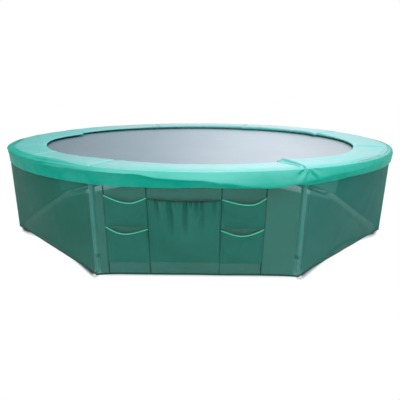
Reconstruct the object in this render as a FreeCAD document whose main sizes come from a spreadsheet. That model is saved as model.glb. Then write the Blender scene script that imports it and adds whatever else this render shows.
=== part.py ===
import FreeCAD, Part
import Sketcher
import math
import os
from FreeCAD import Placement, Rotation, Vector

# Round garden trampoline on eight posts, with a padded edge and a mesh skirt that has pockets.
# Millimetres, +Z up, the origin on the floor under the middle, the pocket side towards -Y.

DIMENSIONS = [
    ("rail_outer_diameter", 4267, "a fourteen foot ring, measured over the tube"),
    ("rail_height", 903, "middle of the ring's tube above the floor"),
    ("tube_diameter", 42, "ring, posts and bases are one tube"),
    ("tube_wall", 1.5, ""),
    ("side_count", 8, "straight sides of the skirt, sections of the ring, and posts"),
    ("rail_end_gap", 4, "between two sections inside a socket"),
    ("slide_clearance", 0.4, "radial, tube in sleeve and spigot in tube"),
    ("sleeve_length", 110, "along the ring"),
    ("sleeve_wall", 2.6, ""),
    ("stub_length", 90, "of a socket's stub inside a post"),
    ("seat_clearance", 0.4, "between pieces that rest on each other"),
    ("joint_height", 231, "where a post stands on its base"),
    ("spigot_length", 60, "of a base's swaged end inside a post"),
    ("bend_radius", 95, "middle line of a base's bend at the floor"),
    ("base_tilt", 8.5, "degrees that the floor tube climbs towards its middle"),
    ("base_crest_radius", 500, "middle line of the bend in a base's middle"),
    ("collar_thickness", 2.5, ""),
    ("collar_height", 30, ""),
    ("screw_diameter", 6, ""),
    ("screw_length", 9, "under the head"),
    ("screw_head_diameter", 13, ""),
    ("screw_head_height", 3.5, ""),
    ("screw_head_round", 0.9, "radius of the rounding round a head"),
    ("screw_from_joint", 30, "from a joint's edge to its screw"),
    ("mat_gap", 264.5, "from the mat's edge to the middle line of the ring"),
    ("mat_thickness", 2, ""),
    ("mat_rise", 2, "top of the jumping mat over the middle of the ring's tube"),
    ("hem_width", 50, "webbing sewn under the mat's edge"),
    ("hem_thickness", 6, ""),
    ("ring_wire", 4, "wire of the V-rings"),
    ("ring_width", 34, "outside, at the sewn side"),
    ("ring_depth", 36, "sewn side to tip, middle lines"),
    ("ring_bend_radius", 6, "middle line, at the tip"),
    ("ring_reach", 16, "of the tip past the mat's edge"),
    ("springs_per_side", 12, ""),
    ("spring_wire", 3.2, ""),
    ("spring_diameter", 22, "over the coils"),
    ("hook_radius", 8, "middle line of a hook's curl"),
    ("hook_reach", 22, "from the coils to the middle of a curl"),
    ("hook_inset", 20.5, "middle of a curl inside the ring's middle line"),
    ("hook_rise", 15, "middle of a curl above the ring's middle line"),
    ("hook_inlay", 0.4, "how far inside the coils' outside a hook starts"),
    ("hook_root", 2, "part of a hook inside the coils' end"),
    ("inner_curl_angle", 205, "degrees, round a V-ring"),
    ("outer_curl_angle", 118, "degrees, down into the ring's hole"),
    ("hook_hole_radius", 2.6, "hole for a hook in the ring"),
    ("pad_width", 374, "from the edge over the mat to the outer edge"),
    ("pad_overhang", 6.5, "of the pad's outer edge past the ring"),
    ("pad_thickness", 22, "at its outer edge"),
    ("pad_inner_thickness", 34, "at its edge over the mat"),
    ("pad_crown", 13, "rise of the pad's middle over its edges"),
    ("pad_slope", 13, "how much lower the pad's inner edge lies"),
    ("pad_seam_length", 45, "where the pad narrows towards a seam"),
    ("pad_seam_share", 0.68, "share of the thickness left at a seam"),
    ("pad_rest_gap", 0.7, "pad over the skirt's top edge"),
    ("flap_length", 116, "band that hangs over the ring"),
    ("flap_thickness", 2, ""),
    ("flap_bulge", 5.7, "how far the band swells past its top edge"),
    ("flap_gap", 0.3, "band's top to the pad"),
    ("skirt_thickness", 1.5, ""),
    ("skirt_gap", 0.5, "skirt outside the sleeves"),
    ("skirt_top_width", 31, "part that lies over the ring"),
    ("skirt_flare", 2, "how much further out the lower corners are"),
    ("hem_height", 66, "bottom edge of the skirt above the floor"),
    ("pocket_cloth", 1.2, ""),
    ("pocket_column_left", -710, "left edge of the left column of pockets"),
    ("pocket_width", 332, ""),
    ("bag_left", -375, "left edge of the gathered bag"),
    ("bag_width", 548, ""),
    ("pocket_column_right", 178, "left edge of the right column of pockets"),
    ("pocket_drop", 161, "ends of an upper mouth under the middle of the ring's tube"),
    ("pocket_depth_upper", 240, ""),
    ("pocket_spacing", 16, "lower mouth's ends under the upper pocket"),
    ("pocket_depth_lower", 298, ""),
    ("pocket_bulge", 26, "mouth away from the skirt"),
    ("pocket_sag", 36, "middle of a mouth below its ends"),
    ("bag_drop", 165, "ends of the bag's mouth under the middle of the ring's tube"),
    ("bag_depth", 542, ""),
    ("bag_bulge", 40, ""),
    ("bag_sag", 8, ""),
    ("binding_diameter", 6, "rolled edge of a pocket's mouth"),
    ("binding_gap", 0.2, "over the cloth's edge"),
    ("binding_stand_share", 1.3, "of its radius that a rolled edge's end stands out"),
    ("elastic_diameter", 9, "gathered edge of the bag's mouth"),
]

SIDES = ["front", "front_right", "right", "back_right", "back", "back_left", "left", "front_left"]
BASE_SIDES = ["front_right", "back_right", "back_left", "front_left"]

doc = FreeCAD.newDocument("trampoline")
sheet = doc.addObject("Spreadsheet::Sheet", "sizes")
for row, (name, value, note) in enumerate(DIMENSIONS, 1):
    sheet.set(f"A{row}", name)
    sheet.set(f"B{row}", str(value))
    sheet.setAlias(f"B{row}", name)
    sheet.set(f"C{row}", note)
doc.recompute()

nodes = []


def size(name):
    return float(sheet.get(name))


def node(item, label):
    item.Label = label
    nodes.append(item)
    return item


def add(kind, name, **expressions):
    """A new object with each property bound to an expression on the sheet."""
    item = doc.addObject(kind, name)
    for prop, text in expressions.items():
        item.setExpression(prop.replace("__", "."), text)
    return item


def cut(name, base, tool):
    item = doc.addObject("Part::Cut", name)
    item.Base, item.Tool = base, tool
    return item


def fuse(name, parts):
    item = doc.addObject("Part::MultiFuse", name)
    item.Shapes = parts
    return item


def feature(name, shape, placement=Placement()):
    item = doc.addObject("Part::Feature", name)
    item.Shape = shape
    item.Placement = placement.multiply(shape.Placement)
    return item


def turned(angle, height=0.0):
    """Placement of a piece drawn towards the front, turned about the middle."""
    return Placement(Vector(0, 0, height), Rotation(Vector(0, 0, 1), angle))


def copies(shape, angles, height=0.0):
    out = []
    for angle in angles:
        one = shape.copy()
        one.Placement = turned(angle, height).multiply(one.Placement)
        out.append(one)
    return Part.makeCompound(out)


def bent_wire(radius, path):
    """Round wire along a path of straight runs and arcs."""
    pieces = []
    for edge in path.Edges:
        start, end = (edge.valueAt(edge.FirstParameter), edge.valueAt(edge.LastParameter))
        disc = Part.Face(Part.Wire(Part.Circle(start, edge.tangentAt(edge.FirstParameter), radius).toShape()))
        if isinstance(edge.Curve, Part.Circle):
            sweep = math.degrees(edge.LastParameter - edge.FirstParameter)
            pieces.append(disc.revolve(edge.Curve.Center, edge.Curve.Axis, sweep))
        else:
            pieces.append(disc.extrude(end - start))
    return pieces[0].fuse(pieces[1:]).removeSplitter() if len(pieces) > 1 else pieces[0]


def at(radius, angle, height):
    """Point by its distance from the middle, its angle from the front and its height."""
    turn = math.radians(angle)
    return Vector(radius * math.sin(turn), -radius * math.cos(turn), height)


# Sizes that follow from the sheet, as expressions for the bound objects.
RAIL = "(sizes.rail_outer_diameter - sizes.tube_diameter) / 2"
MAT = f"({RAIL} - sizes.mat_gap)"
MAT_BOTTOM = "(sizes.rail_height + sizes.mat_rise - sizes.mat_thickness)"
TUBE = "sizes.tube_diameter / 2"
BORE = "(sizes.tube_diameter / 2 - sizes.tube_wall)"
SLEEVE_BORE = "(sizes.tube_diameter / 2 + sizes.slide_clearance)"
SLEEVE = "(sizes.tube_diameter / 2 + sizes.slide_clearance + sizes.sleeve_wall)"
SPIGOT = "(sizes.tube_diameter / 2 - sizes.tube_wall - sizes.slide_clearance)"
SIDE_ANGLE = "360 / sizes.side_count"

# The same sizes as numbers, for shapes that are worked out point by point.
rail_radius = (size("rail_outer_diameter") - size("tube_diameter")) / 2
tube_radius = size("tube_diameter") / 2
bore_radius = tube_radius - size("tube_wall")
sleeve_radius = tube_radius + size("slide_clearance") + size("sleeve_wall")
side_count = int(size("side_count"))
side_angle = 360 / side_count
half_side = side_angle / 2
rail_height = size("rail_height")
post_top = rail_height - sleeve_radius - size("seat_clearance")
side_turns = [side_angle * i for i in range(side_count)]
post_turns = [half_side + turn for turn in side_turns]


# Springs: plain tubes for the closed coils, with their two hooks. One spring is drawn
# along X from the middle of its inner curl to the middle of its outer one.
mat_radius = rail_radius - size("mat_gap")
mat_bottom = rail_height + size("mat_rise") - size("mat_thickness")
ring_height = mat_bottom - size("hem_thickness") / 2
ring_tip = mat_radius + size("ring_reach")
spring_wire_radius = size("spring_wire") / 2
hook_radius = size("hook_radius")
# The curl holds the ring's wire against its inner side.
inner_curl = ring_tip + hook_radius - spring_wire_radius - size("ring_wire") / 2 - size("seat_clearance")
outer_curl = rail_radius - size("hook_inset")
outer_curl_height = rail_height + size("hook_rise")
spring_rise = outer_curl_height - ring_height
spring_run = outer_curl - inner_curl
spring_length = math.hypot(spring_rise, spring_run)
spring_slope = math.degrees(math.atan2(spring_rise, spring_run))


def hook(middle_x, towards, reach_angle):
    """Wire from the coils' end over the top and round the curl."""
    radius, reach = hook_radius, size("hook_reach") + size("hook_root")
    start = Vector(middle_x - towards * reach, 0, radius)
    top = Vector(middle_x, 0, radius)

    def point(angle):
        turn = math.radians(angle)
        return Vector(middle_x + towards * radius * math.sin(turn), 0, radius * math.cos(turn))

    path = Part.Wire([
        Part.LineSegment(start, top).toShape(),
        Part.Arc(top, point(reach_angle / 2), point(reach_angle)).toShape(),
    ])
    return bent_wire(spring_wire_radius, path)


def spring_shape():
    coil_radius = size("spring_diameter") / 2
    coil_start, coil_end = size("hook_reach"), spring_length - size("hook_reach")
    # A hook's wire leaves the coils at their top.
    axis = Vector(coil_start, 0, hook_radius + spring_wire_radius + size("hook_inlay") - coil_radius)
    along = Vector(1, 0, 0)
    coil = Part.makeCylinder(coil_radius, coil_end - coil_start, axis, along)
    inside = Part.makeCylinder(coil_radius - 2 * spring_wire_radius, coil_end - coil_start, axis, along)
    inner = hook(0, -1, size("inner_curl_angle"))
    outer = hook(spring_length, 1, size("outer_curl_angle"))
    shape = coil.cut(inside).fuse([inner, outer])
    shape.rotate(Vector(), Vector(0, 1, 0), -spring_slope)
    shape.translate(Vector(inner_curl, 0, ring_height))
    shape.rotate(Vector(), Vector(0, 0, 1), -90)
    return shape


springs_per_side = int(size("springs_per_side"))
spring_step = side_angle / springs_per_side
spring_turns_in_side = [(i + 0.5) * spring_step - half_side for i in range(springs_per_side)]
spring_turns = [turn + spring for turn in side_turns for spring in spring_turns_in_side]
node(feature("springs", copies(spring_shape(), spring_turns)), "springs")
hook_radius_from_middle = outer_curl + hook_radius


# The ring of tube: one section for each side, with the holes that the hooks go down into.
def tube_section(name, radius, sweep):
    item = add("Part::Torus", name, Radius1=RAIL, Radius2=radius, Angle3=sweep)
    return item


RAIL_SWEEP = f"{SIDE_ANGLE} - sizes.rail_end_gap / ({RAIL}) * 180 / pi"
rail_sweep = side_angle - math.degrees(size("rail_end_gap") / rail_radius)
rail_tube = cut(
    "rail_tube",
    tube_section("rail_outside", TUBE, RAIL_SWEEP),
    tube_section("rail_inside", BORE, RAIL_SWEEP),
)
# A hook bears on the side of its hole that faces the mat.
hole_radius = size("hook_hole_radius")
hole_place = hook_radius_from_middle + hole_radius - spring_wire_radius - size("seat_clearance")
hole = Part.makeCylinder(hole_radius, 2 * tube_radius, Vector(hole_place, 0, 0))
holes = feature("hook_holes", Part.makeCompound([
    hole.transformed(turned(rail_sweep / 2 + turn).toMatrix()) for turn in spring_turns_in_side
]))
for side, turn in zip(SIDES, side_turns):
    rail = node(cut("rail_" + side, rail_tube, holes), "rail_" + side)
    rail.Placement = turned(turn - 90 - rail_sweep / 2, rail_height)


# Sockets: a sleeve over the ends of two sections, with a stub that goes down into a post.
SLEEVE_SWEEP = f"sizes.sleeve_length / ({RAIL}) * 180 / pi"
sleeve_sweep = math.degrees(size("sleeve_length") / rail_radius)
sleeve = tube_section("sleeve", SLEEVE, SLEEVE_SWEEP)
sleeve.Placement = turned(-90 - sleeve_sweep / 2)
sleeve_bore = tube_section("sleeve_bore", SLEEVE_BORE, f"2 * ({SLEEVE_SWEEP})")
sleeve_bore.Placement = turned(-90 - sleeve_sweep)
stub = add("Part::Cylinder", "stub", Radius=SPIGOT, Height=f"{SLEEVE} + sizes.stub_length - {TUBE} / 3",
           Placement__Base__y=f"-({RAIL})", Placement__Base__z=f"-{SLEEVE} - sizes.stub_length")
stub_bore = add("Part::Cylinder", "stub_bore", Radius=f"{SPIGOT} - sizes.tube_wall",
                Height="sizes.stub_length", Placement__Base__y=f"-({RAIL})",
                Placement__Base__z=f"-{SLEEVE} - sizes.stub_length")


def screw_hole(name, height):
    """Hole for a screw through the side that faces the middle."""
    item = add("Part::Cylinder", name, Radius="sizes.screw_diameter / 2 + sizes.seat_clearance",
               Height="sizes.tube_diameter", Placement__Base__y=f"-({RAIL})", Placement__Base__z=height)
    item.Placement.Rotation = Rotation(Vector(1, 0, 0), -90)
    return item


socket_hole = screw_hole("socket_hole", f"-{SLEEVE} - sizes.seat_clearance - sizes.screw_from_joint")
socket_tools = fuse("socket_tools", [sleeve_bore, stub_bore, socket_hole])
socket = cut("socket", fuse("socket_outside", [sleeve, stub]), socket_tools)
doc.recompute()
node(feature("leg_sockets", copies(socket.Shape, post_turns, rail_height)), "leg_sockets")


# Posts: straight tubes between the sockets and the bases.
POST_LENGTH = f"sizes.rail_height - {SLEEVE} - sizes.seat_clearance - sizes.joint_height"
post_tube = cut(
    "post_tube",
    add("Part::Cylinder", "post_outside", Radius=TUBE, Height=POST_LENGTH, Placement__Base__y=f"-({RAIL})"),
    add("Part::Cylinder", "post_inside", Radius=BORE, Height=POST_LENGTH, Placement__Base__y=f"-({RAIL})"),
)
post_holes = fuse("post_holes", [
    screw_hole("post_low_hole", "sizes.screw_from_joint"),
    screw_hole("post_high_hole", f"{POST_LENGTH} - sizes.screw_from_joint"),
])
for number, turn in enumerate(post_turns, 1):
    post = node(cut(f"leg_post_{number}", post_tube, post_holes), f"leg_post_{number}")
    post.Placement = turned(turn, size("joint_height"))


# Bases: one tube for two posts, bent up at both ends and raised in its middle. It is drawn
# in a plane through both posts, from its left spigot to its right one.
half_chord = rail_radius * math.sin(math.radians(half_side))
chord_distance = rail_radius * math.cos(math.radians(half_side))
tilt = math.radians(size("base_tilt"))
bend, crest = size("bend_radius"), size("base_crest_radius")
bend_height = tube_radius + bend
run = (half_chord - bend - (bend + crest) * math.sin(tilt)) / math.cos(tilt)
crest_height = bend_height - bend * math.cos(tilt) + run * math.sin(tilt) - crest * math.cos(tilt)


def plane_of(body, role):
    return next(item for item in body.Origin.OriginFeatures if item.Role == role)


def sketch_on(body, name, role):
    item = body.newObject("Sketcher::SketchObject", name)
    item.AttachmentSupport = [(plane_of(body, role), "")]
    item.MapMode = "FlatFace"
    return item


def constrain(sketch, kind, *where, name=None, expression=None):
    index = sketch.addConstraint(Sketcher.Constraint(kind, *where))
    if expression:
        sketch.renameConstraint(index, name)
        sketch.setExpression("Constraints." + name, expression)
    return index


def base_body():
    body = doc.addObject("PartDesign::Body", "leg_base")
    path = sketch_on(body, "base_path", "XZ_Plane")
    joint = size("joint_height")
    bend_middle = Vector(half_chord - bend, bend_height, 0)
    low = bend_middle + Vector(-bend * math.sin(tilt), -bend * math.cos(tilt), 0)
    high = Vector(crest * math.sin(tilt), crest_height + crest * math.cos(tilt), 0)

    def left(point):
        return Vector(-point.x, point.y, 0)

    circle = [Part.Circle(middle, Vector(0, 0, 1), radius) for middle, radius in (
        (left(bend_middle), bend), (Vector(0, crest_height, 0), crest), (bend_middle, bend))]
    right_angle, turn = math.pi / 2, tilt
    path.addGeometry([
        Part.LineSegment(Vector(-half_chord, joint, 0), Vector(-half_chord, bend_height, 0)),
        Part.ArcOfCircle(circle[0], 2 * right_angle, 3 * right_angle + turn),
        Part.LineSegment(left(low), left(high)),
        Part.ArcOfCircle(circle[1], right_angle - turn, right_angle + turn),
        Part.LineSegment(high, low),
        Part.ArcOfCircle(circle[2], 3 * right_angle - turn, 4 * right_angle),
        Part.LineSegment(Vector(half_chord, bend_height, 0), Vector(half_chord, joint, 0)),
    ], False)
    constrain(path, "Vertical", 0)
    constrain(path, "Tangent", 0, 2, 1, 1)
    constrain(path, "Tangent", 1, 2, 2, 1)
    constrain(path, "Tangent", 2, 2, 3, 2)
    constrain(path, "Tangent", 3, 1, 4, 1)
    constrain(path, "Tangent", 4, 2, 5, 1)
    constrain(path, "Tangent", 5, 2, 6, 1)
    constrain(path, "Symmetric", 0, 1, 6, 2, -2)
    constrain(path, "Symmetric", 1, 3, 5, 3, -2)
    constrain(path, "PointOnObject", 3, 3, -2)
    constrain(path, "Equal", 1, 5)
    constrain(path, "Radius", 1, bend, name="bend_radius", expression="sizes.bend_radius")
    constrain(path, "Radius", 3, crest, name="crest_radius", expression="sizes.base_crest_radius")
    constrain(path, "DistanceX", 0, 1, -1, 1, half_chord, name="half_chord",
              expression=f"({RAIL}) * sin(180 / sizes.side_count)")
    constrain(path, "DistanceY", -1, 1, 0, 1, joint, name="joint_height",
              expression="sizes.joint_height")
    constrain(path, "DistanceY", -1, 1, 1, 3, bend_height, name="bend_height",
              expression=f"{TUBE} + sizes.bend_radius")
    constrain(path, "Angle", -1, 1, 2, 1, tilt, name="tilt", expression="sizes.base_tilt")

    section = sketch_on(body, "base_section", "XY_Plane")
    section.AttachmentOffset = Placement(Vector(0, 0, joint), Rotation())
    section.setExpression("AttachmentOffset.Base.z", "sizes.joint_height")
    middle = Vector(-half_chord, 0, 0)
    section.addGeometry([Part.Circle(middle, Vector(0, 0, 1), radius)
                         for radius in (tube_radius, bore_radius)], False)
    for index, name, expression, value in (
            (0, "tube_radius", TUBE, tube_radius), (1, "bore_radius", BORE, bore_radius)):
        constrain(section, "Radius", index, value, name=name, expression=expression)
    constrain(section, "PointOnObject", 0, 3, -1)
    constrain(section, "Coincident", 0, 3, 1, 3)
    constrain(section, "DistanceX", 0, 3, -1, 1, half_chord, name="half_chord",
              expression=f"({RAIL}) * sin(180 / sizes.side_count)")
    pipe = body.newObject("PartDesign::AdditivePipe", "base_tube")
    pipe.Profile = section
    pipe.Spine = path
    path.Visibility = False
    return body


base = base_body()
spigot_outside = add("Part::Cylinder", "spigot_outside", Radius=SPIGOT,
                     Height="2 * sizes.spigot_length", Placement__Base__z="-sizes.spigot_length")
spigot_root = add("Part::Cylinder", "spigot_root", Radius=f"{TUBE} - sizes.tube_wall / 2",
                  Height="sizes.spigot_length / 2", Placement__Base__z="-sizes.spigot_length / 2")
spigot_bore = add("Part::Cylinder", "spigot_bore", Radius=f"{SPIGOT} - sizes.tube_wall",
                  Height="3 * sizes.spigot_length", Placement__Base__z="-1.5 * sizes.spigot_length")
spigot_hole = add("Part::Cylinder", "spigot_hole", Radius="sizes.screw_diameter / 2 + sizes.seat_clearance",
                  Height="sizes.tube_diameter", Placement__Base__z="sizes.screw_from_joint")
doc.recompute()


def base_shape():
    """The bent tube with its two spigots, each with a hole towards the trampoline's middle."""
    parts, holes = [], []
    joint = size("joint_height")
    for x, lean in ((-half_chord, half_side), (half_chord, -half_side)):
        seat = Placement(Vector(x, 0, joint), Rotation(Vector(0, 0, 1), -lean))
        outside = spigot_outside.Shape.fuse(spigot_root.Shape)
        keep_low = size("spigot_length") / 2
        box = Part.makeBox(4 * tube_radius, 4 * tube_radius, 3 * keep_low,
                           Vector(-2 * tube_radius, -2 * tube_radius, -keep_low))
        parts.append(outside.common(box).cut(spigot_bore.Shape).transformed(seat.toMatrix()))
        hole = spigot_hole.Shape.copy()
        height = size("screw_from_joint")
        hole.Placement = Placement(Vector(0, 0, height), Rotation(Vector(1, 0, 0), -90))
        holes.append(hole.transformed(seat.toMatrix()))
    shape = base.Shape.fuse(parts)
    shape = shape.cut(holes)
    shape.translate(Vector(0, -chord_distance, 0))
    return shape


leg_base = base_shape()
for side, turn in zip(SIDES, side_turns):
    if side in BASE_SIDES:
        node(feature("leg_base_" + side, leg_base.copy(), turned(turn)), "leg_base_" + side)


# Dark collars over the joints between the posts and the bases.
COLLAR_BORE = "(sizes.tube_diameter / 2 + sizes.seat_clearance)"
collar = cut(
    "collar",
    add("Part::Cylinder", "collar_outside",
        Radius=f"{COLLAR_BORE} + sizes.collar_thickness - sizes.seat_clearance",
        Height="sizes.collar_height", Placement__Base__y=f"-({RAIL})"),
    add("Part::Cylinder", "collar_inside", Radius=COLLAR_BORE,
        Height="sizes.collar_height", Placement__Base__y=f"-({RAIL})"),
)
doc.recompute()
node(feature("leg_collars", copies(
    collar.Shape, post_turns, size("joint_height") - size("collar_height") / 2)), "leg_collars")


# Screws: through a post's inner side into its socket above and its base below.
screw_shank = add("Part::Cylinder", "screw_shank", Radius="sizes.screw_diameter / 2",
                  Height="sizes.screw_length")
screw_head = add("Part::Cylinder", "screw_head", Radius="sizes.screw_head_diameter / 2",
                 Height="sizes.screw_head_height", Placement__Base__z="sizes.screw_length")
doc.recompute()
rim = next(i for i, edge in enumerate(screw_head.Shape.Edges, 1)
           if edge.BoundBox.ZMin > size("screw_length") + size("screw_head_round"))
rounded_head = add("Part::Fillet", "rounded_head")
rounded_head.Base = screw_head
rounded_head.Edges = [(rim, size("screw_head_round"), size("screw_head_round"))]
screw = fuse("screw", [screw_shank, rounded_head])
doc.recompute()


def screws():
    out = []
    head_seat = tube_radius + size("seat_clearance")
    start = -rail_radius + head_seat - size("screw_length")
    for height in (size("joint_height") + size("screw_from_joint"), post_top - size("screw_from_joint")):
        one = screw.Shape.copy()
        one.Placement = Placement(Vector(0, start, height), Rotation(Vector(1, 0, 0), -90))
        out.append(one)
    return copies(Part.makeCompound(out), post_turns)


node(feature("leg_screws", screws()), "leg_screws")


# The jumping mat, the webbing hem under its edge, and the V-rings sewn into the hem.
node(add("Part::Cylinder", "mat_bed", Radius=MAT, Height="sizes.mat_thickness",
         Placement__Base__z=MAT_BOTTOM), "mat_bed")
HEM_BOTTOM = f"{MAT_BOTTOM} - sizes.hem_thickness"
node(cut(
    "mat_hem",
    add("Part::Cylinder", "hem_outside", Radius=MAT,
        Height="sizes.hem_thickness", Placement__Base__z=HEM_BOTTOM),
    add("Part::Cylinder", "hem_inside", Radius=f"{MAT} - sizes.hem_width",
        Height="sizes.hem_thickness", Placement__Base__z=HEM_BOTTOM),
), "mat_hem")


def ring_shape():
    """A triangle of wire with rounded corners, its tip outwards, drawn towards the front."""
    bend, half = size("ring_bend_radius"), size("ring_width") / 2 - size("ring_wire") / 2
    root = ring_tip - size("ring_depth")
    corner = bend / 2
    # Middles of the three bends, and the tangent lines between them.
    middles = [(Vector(0, -(ring_tip - bend), 0), bend),
               (Vector(half - corner, -(root + corner), 0), corner),
               (Vector(corner - half, -(root + corner), 0), corner)]
    edges, joins = [], []
    for i, (here, radius) in enumerate(middles):
        there, next_radius = middles[(i + 1) % 3]
        way = there - here
        off = math.acos((radius - next_radius) / way.Length)
        base_angle = math.atan2(way.y, way.x)
        normal = Vector(math.cos(base_angle - off), math.sin(base_angle - off), 0)
        start, end = here + normal * radius, there + normal * next_radius
        joins.append((start, end, normal))
        edges.append(Part.LineSegment(start, end).toShape())
    for i, (middle, radius) in enumerate(middles):
        into, out = joins[i - 1], joins[i]
        half_way = (into[2] + out[2]).normalize()
        if into[2].cross(out[2]).z == 0:
            half_way = Vector(-into[2].y, into[2].x, 0)
        edges.append(Part.Arc(into[1], middle + half_way * radius, out[0]).toShape())
    return bent_wire(size("ring_wire") / 2, Part.Wire(Part.__sortEdges__(edges)))


v_ring = ring_shape()
node(feature("v_rings", copies(v_ring, spring_turns, ring_height)), "v_rings")


# The skirt: each side hangs from the round ring and ends in a straight hem between two posts.
skirt_top_radius = rail_radius + sleeve_radius + size("skirt_gap")
skirt_low_radius = skirt_top_radius + size("skirt_flare")
hem_height = size("hem_height")
skirt_thickness = size("skirt_thickness")


def band(inner_radius, outer_radius, height, inner_low, outer_low, low_height):
    """Solid between a curved strip at one height and a straight strip at a lower one."""
    def curved(radius, angle):
        return at(radius, angle, height)

    def straight(radius, angle):
        return at(radius, angle, low_height)

    outer = [curved(outer_radius, angle) for angle in (-half_side, 0, half_side)]
    inner = [curved(inner_radius, angle) for angle in (half_side, 0, -half_side)]
    top = Part.Wire([
        Part.Arc(*outer).toShape(), Part.LineSegment(outer[2], inner[0]).toShape(),
        Part.Arc(*inner).toShape(), Part.LineSegment(inner[2], outer[0]).toShape(),
    ])
    low = Part.makePolygon([
        straight(outer_low, -half_side), straight(outer_low, half_side),
        straight(inner_low, half_side), straight(inner_low, -half_side), straight(outer_low, -half_side),
    ])
    return Part.makeLoft([low, top], True, True)


# Along the radius of a corner a flat panel measures more than its thickness.
corner_thickness = skirt_thickness / math.cos(math.radians(half_side))


def revolve(profile, sweep, start):
    """Solid of a closed profile in the (radius, height) plane, turned about the middle."""
    points = [Vector(radius, 0, height) for radius, height in profile]
    face = Part.Face(Part.makePolygon(points + points[:1]))
    solid = face.revolve(Vector(), Vector(0, 0, 1), sweep)
    solid.Placement = turned(start - 90)
    return solid


def skirt_shape():
    top = rail_height + sleeve_radius + size("seat_clearance")
    inner, outer = skirt_top_radius, skirt_top_radius + skirt_thickness
    over = inner - size("skirt_top_width")
    wall = band(inner, outer, rail_height, skirt_low_radius, skirt_low_radius + corner_thickness, hem_height)
    head = revolve([
        (inner, rail_height), (outer, rail_height), (outer, top + skirt_thickness),
        (over, top + skirt_thickness), (over, top), (inner, top),
    ], side_angle, -half_side)
    return wall.fuse(head).removeSplitter()


skirt_panel = skirt_shape()
for side, turn in zip(SIDES, side_turns):
    node(feature("skirt_" + side, skirt_panel.copy(), turned(turn)), "skirt_" + side)


# The pad: foam in a cover, crowned across, narrowing to a seam at each post.
pad_outer = size("rail_outer_diameter") / 2 + size("pad_overhang")
pad_inner = pad_outer - size("pad_width")
pad_floor = rail_height + sleeve_radius + size("seat_clearance") + skirt_thickness + size("pad_rest_gap")
flat_from = outer_curl


def pad_section(angle, share):
    """Closed outline of the pad at one angle, its thickness times a share."""
    thick, inner_thick = size("pad_thickness") * share, size("pad_inner_thickness") * share
    low = pad_floor - size("pad_slope")
    middle = (pad_inner + pad_outer) / 2

    def point(radius, height):
        return at(radius, angle, height)

    inner_low, bend_low = point(pad_inner, low), point(flat_from, pad_floor)
    outer_low = point(pad_outer, pad_floor)
    inner_top, outer_top = point(pad_inner, low + inner_thick), point(pad_outer, pad_floor + thick)
    crest = point(middle, (inner_top.z + outer_top.z) / 2 + size("pad_crown") * share)
    return Part.Wire([
        Part.LineSegment(inner_low, bend_low).toShape(),
        Part.LineSegment(bend_low, outer_low).toShape(),
        Part.LineSegment(outer_low, outer_top).toShape(),
        Part.Arc(outer_top, crest, inner_top).toShape(),
        Part.LineSegment(inner_top, inner_low).toShape(),
    ])


def pad_shape():
    seam = math.degrees(size("pad_seam_length") / pad_outer)
    full = half_side - seam
    body = Part.Face(pad_section(-full, 1)).revolve(Vector(), Vector(0, 0, 1), 2 * full)
    ends = [Part.makeLoft([pad_section(sign * full, 1),
                           pad_section(sign * half_side, size("pad_seam_share"))], True, True)
            for sign in (-1, 1)]
    return body.fuse(ends).removeSplitter()


pad_panel = pad_shape()
for side, turn in zip(SIDES, side_turns):
    node(feature("pad_" + side, pad_panel.copy(), turned(turn)), "pad_" + side)


# The band that hangs from the pad's outer edge over the ring.
def flap_shape():
    inner = pad_outer + size("flap_gap")
    thickness, bulge, length = size("flap_thickness"), size("flap_bulge"), size("flap_length")
    top = pad_floor + size("pad_thickness") * size("pad_seam_share")
    low = skirt_top_radius + skirt_thickness + 1
    profile = []
    for offset in (0, thickness):
        high = Vector(inner + offset, 0, top)
        wide = Vector(inner + bulge + offset, 0, top - length / 4)
        profile.append((high, wide, Vector(low + offset, 0, top - length)))
    inside, outside = profile
    face = Part.Face(Part.Wire([
        Part.Arc(*inside).toShape(), Part.LineSegment(inside[2], outside[2]).toShape(),
        Part.Arc(*outside[::-1]).toShape(), Part.LineSegment(outside[0], inside[0]).toShape(),
    ]))
    solid = face.revolve(Vector(), Vector(0, 0, 1), side_angle)
    solid.Placement = turned(-half_side - 90)
    return solid


flap_panel = flap_shape()
for side, turn in zip(SIDES, side_turns):
    node(feature("flap_" + side, flap_panel.copy(), turned(turn)), "flap_" + side)


# Pockets on the front panel.
def panel_out(x, height):
    """How far the front panel's outer face stands from the middle, at a place across it and a height."""
    share = (rail_height - height) / (rail_height - hem_height)
    top, low = skirt_top_radius + skirt_thickness, skirt_low_radius + corner_thickness
    low_half = low * math.sin(math.radians(half_side))
    low_out = low * math.cos(math.radians(half_side))
    along = x / low_half
    for _ in range(20):
        turn = math.radians(half_side * along)
        across = (1 - share) * top * math.sin(turn) + share * along * low_half
        along += (x - across) / low_half
    turn = math.radians(half_side * along)
    return (1 - share) * top * math.cos(turn) + share * low_out


def mouth_points(left, width, height, bulge, sag, off):
    ends = [Vector(x, -panel_out(x, height) - off, height) for x in (left, left + width)]
    middle = left + width / 2
    return ends[0], Vector(middle, -panel_out(middle, height - sag) - bulge - off, height - sag), ends[1]


def strip(left, width, height, bulge, sag):
    """Flat outline of the cloth's edge, between two arcs."""
    near = mouth_points(left, width, height, bulge, sag, size("flap_gap"))
    out = near[1] - (near[0] + near[2]) / 2
    shift = out * (size("pocket_cloth") / abs(out.y))
    far = [point + shift for point in near]
    return Part.Wire([
        Part.Arc(*far).toShape(), Part.LineSegment(far[2], near[2]).toShape(),
        Part.Arc(*near[::-1]).toShape(), Part.LineSegment(near[0], far[0]).toShape(),
    ])


def pocket(label, left, width, mouth, bottom, bulge, sag):
    outlines = [strip(left, width, bottom, 0, 0), strip(left, width, mouth, bulge, sag)]
    cloth = Part.makeLoft(outlines, True, True)
    return node(feature(label, cloth), label)


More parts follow.
